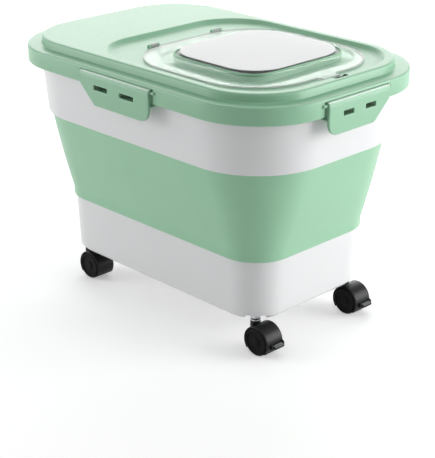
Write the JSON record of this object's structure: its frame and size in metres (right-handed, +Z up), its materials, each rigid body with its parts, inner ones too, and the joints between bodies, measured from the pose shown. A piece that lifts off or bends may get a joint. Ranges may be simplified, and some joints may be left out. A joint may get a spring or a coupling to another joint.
{
  "type": "rice bin",
  "caption": "Foldable rice bin on casters: white tub, green folding band, clip-on lid with a clear flip cover over its fill opening.",
  "frame": {"origin": "on the floor under the middle of the bin", "axes": "+X along the length towards the end with the flip cover's tab, +Y across the width, +Z up"},
  "size_m": [0.398, 0.272, 0.2863],
  "materials": {
    "white_pp": "satin moulded polypropylene",
    "mint_pp": "satin moulded polypropylene",
    "mint_tpe": "matt soft TPE",
    "clear_plastic": "clear moulded plastic",
    "silicone": "soft silicone",
    "steel": "zinc-plated",
    "black_nylon": "moulded nylon"
  },
  "bodies": {
    "base": {"base_tub": "white_pp", "fold_band": "mint_tpe", "stem_front_right": "steel", "stem_front_left": "steel", "stem_rear_right": "steel", "stem_rear_left": "steel"},
    "ring": {"upper_ring": "white_pp"},
    "lid": {"lid_shell": "mint_pp", "lid_seal": "silicone", "hinge_pins": "steel"},
    "cover": {"flip_cover": "clear_plastic", "cover_seal": "silicone"},
    "clip_right": {"clip_right": "mint_pp"},
    "clip_left": {"clip_left": "mint_pp"},
    "clip_front": {"clip_front": "mint_pp"},
    "clip_rear": {"clip_rear": "mint_pp"},
    "caster_front_right": {"hood_front_right": "black_nylon", "axle_front_right": "steel"},
    "wheels_front_right": {"wheels_front_right": "black_nylon"},
    "caster_front_left": {"hood_front_left": "black_nylon", "axle_front_left": "steel"},
    "wheels_front_left": {"wheels_front_left": "black_nylon"},
    "caster_rear_right": {"hood_rear_right": "black_nylon", "axle_rear_right": "steel"},
    "wheels_rear_right": {"wheels_rear_right": "black_nylon"},
    "caster_rear_left": {"hood_rear_left": "black_nylon", "axle_rear_left": "steel"},
    "wheels_rear_left": {"wheels_rear_left": "black_nylon"},
    "pedal_front_right": {"pedal_front_right": "black_nylon"},
    "pedal_front_left": {"pedal_front_left": "black_nylon"}
  },
  "joints": [
    {"name": "fold", "type": "slide", "parent": "base", "child": "ring", "axis": [0, 0, 1], "range_m": [-0.15, 0], "deforming": ["fold_band"]},
    {"name": "lid_lift", "type": "slide", "parent": "ring", "child": "lid", "axis": [0, 0, 1], "range_m": [0, 0.12]},
    {"name": "cover_hinge", "type": "hinge", "parent": "lid", "child": "cover", "pos_m": [-0.0415, 0, 0.2786], "axis": [0, -1, 0], "range_deg": [0, 115]},
    {"name": "clip_right_hinge", "type": "hinge", "parent": "lid", "child": "clip_right", "pos_m": [0, -0.1324, 0.2658], "axis": [-1, 0, 0], "range_deg": [0, 110]},
    {"name": "clip_left_hinge", "type": "hinge", "parent": "lid", "child": "clip_left", "pos_m": [0, 0.1324, 0.2658], "axis": [1, 0, 0], "range_deg": [0, 110]},
    {"name": "clip_front_hinge", "type": "hinge", "parent": "lid", "child": "clip_front", "pos_m": [0.1954, 0, 0.2658], "axis": [0, -1, 0], "range_deg": [0, 110]},
    {"name": "clip_rear_hinge", "type": "hinge", "parent": "lid", "child": "clip_rear", "pos_m": [-0.1954, 0, 0.2658], "axis": [0, 1, 0], "range_deg": [0, 110]},
    {"name": "swivel_front_right", "type": "hinge", "parent": "base", "child": "caster_front_right", "pos_m": [0.1311, -0.0681, 0.015], "axis": [0, 0, 1], "continuous": true},
    {"name": "wheel_front_right", "type": "hinge", "parent": "caster_front_right", "child": "wheels_front_right", "pos_m": [0.1421, -0.0681, 0.015], "axis": [0, 1, 0], "continuous": true},
    {"name": "swivel_front_left", "type": "hinge", "parent": "base", "child": "caster_front_left", "pos_m": [0.1311, 0.0681, 0.015], "axis": [0, 0, 1], "continuous": true},
    {"name": "wheel_front_left", "type": "hinge", "parent": "caster_front_left", "child": "wheels_front_left", "pos_m": [0.1421, 0.0681, 0.015], "axis": [0, 1, 0], "continuous": true},
    {"name": "swivel_rear_right", "type": "hinge", "parent": "base", "child": "caster_rear_right", "pos_m": [-0.1311, -0.0681, 0.015], "axis": [0, 0, 1], "continuous": true},
    {"name": "wheel_rear_right", "type": "hinge", "parent": "caster_rear_right", "child": "wheels_rear_right", "pos_m": [-0.1201, -0.0681, 0.015], "axis": [0, 1, 0], "continuous": true},
    {"name": "swivel_rear_left", "type": "hinge", "parent": "base", "child": "caster_rear_left", "pos_m": [-0.1311, 0.0681, 0.015], "axis": [0, 0, 1], "continuous": true},
    {"name": "wheel_rear_left", "type": "hinge", "parent": "caster_rear_left", "child": "wheels_rear_left", "pos_m": [-0.1201, 0.0681, 0.015], "axis": [0, 1, 0], "continuous": true},
    {"name": "brake_front_right", "type": "hinge", "parent": "caster_front_right", "child": "pedal_front_right", "pos_m": [0.1593, -0.0656, 0.0135], "axis": [0, 1, 0], "range_deg": [0, 18]},
    {"name": "brake_front_left", "type": "hinge", "parent": "caster_front_left", "child": "pedal_front_left", "pos_m": [0.1593, 0.0706, 0.0135], "axis": [0, 1, 0], "range_deg": [0, 18]}
  ]
}
